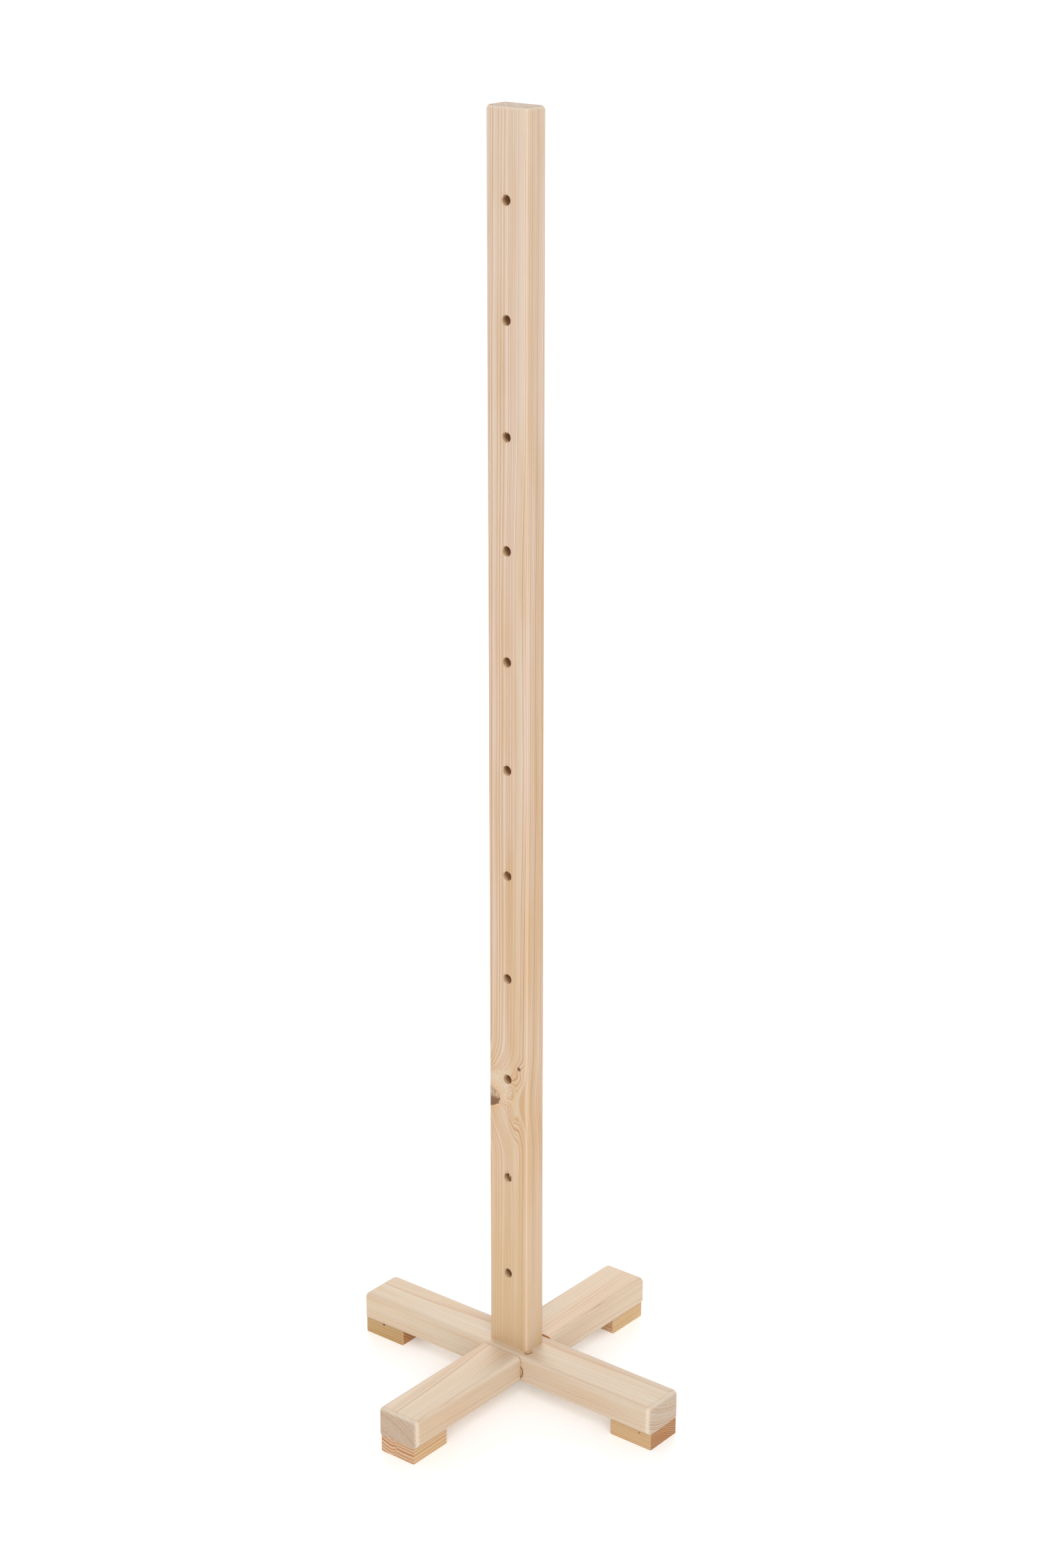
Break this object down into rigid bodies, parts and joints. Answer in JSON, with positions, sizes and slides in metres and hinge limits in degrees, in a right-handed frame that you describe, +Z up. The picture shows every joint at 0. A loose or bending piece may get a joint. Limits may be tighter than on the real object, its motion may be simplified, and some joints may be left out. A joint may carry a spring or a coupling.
{
  "type": "standing coat rack",
  "caption": "Free-standing wooden coat rack: a tall square-cut post drilled through for pegs, on a low half-lapped cross base with foot pads.",
  "frame": {"origin": "on the floor, under the middle of the cross base", "axes": "+Z up along the post, +X along the long rail, +Y along the cross rail and away from the face that the pegs leave"},
  "size_m": [0.52, 0.52, 1.797],
  "materials": {
    "spruce": "planed, unfinished spruce with rounded edges",
    "pine": "sawn and planed pine with strong rings",
    "beech": "fluted beech dowel",
    "zinc_steel": "bright zinc plating on steel"
  },
  "bodies": {
    "root": {"post": "spruce", "long_rail": "spruce", "cross_rail": "spruce", "foot_pad_right": "pine", "foot_pad_back": "pine", "foot_pad_left": "pine", "foot_pad_front": "pine", "pad_screws_right": "zinc_steel", "pad_screws_back": "zinc_steel", "pad_screws_left": "zinc_steel", "pad_screws_front": "zinc_steel", "lap_screws": "zinc_steel", "post_bolt": "zinc_steel", "post_bolt_washer": "zinc_steel", "threaded_insert": "zinc_steel", "locating_dowels": "beech"}
  },
  "joints": []
}
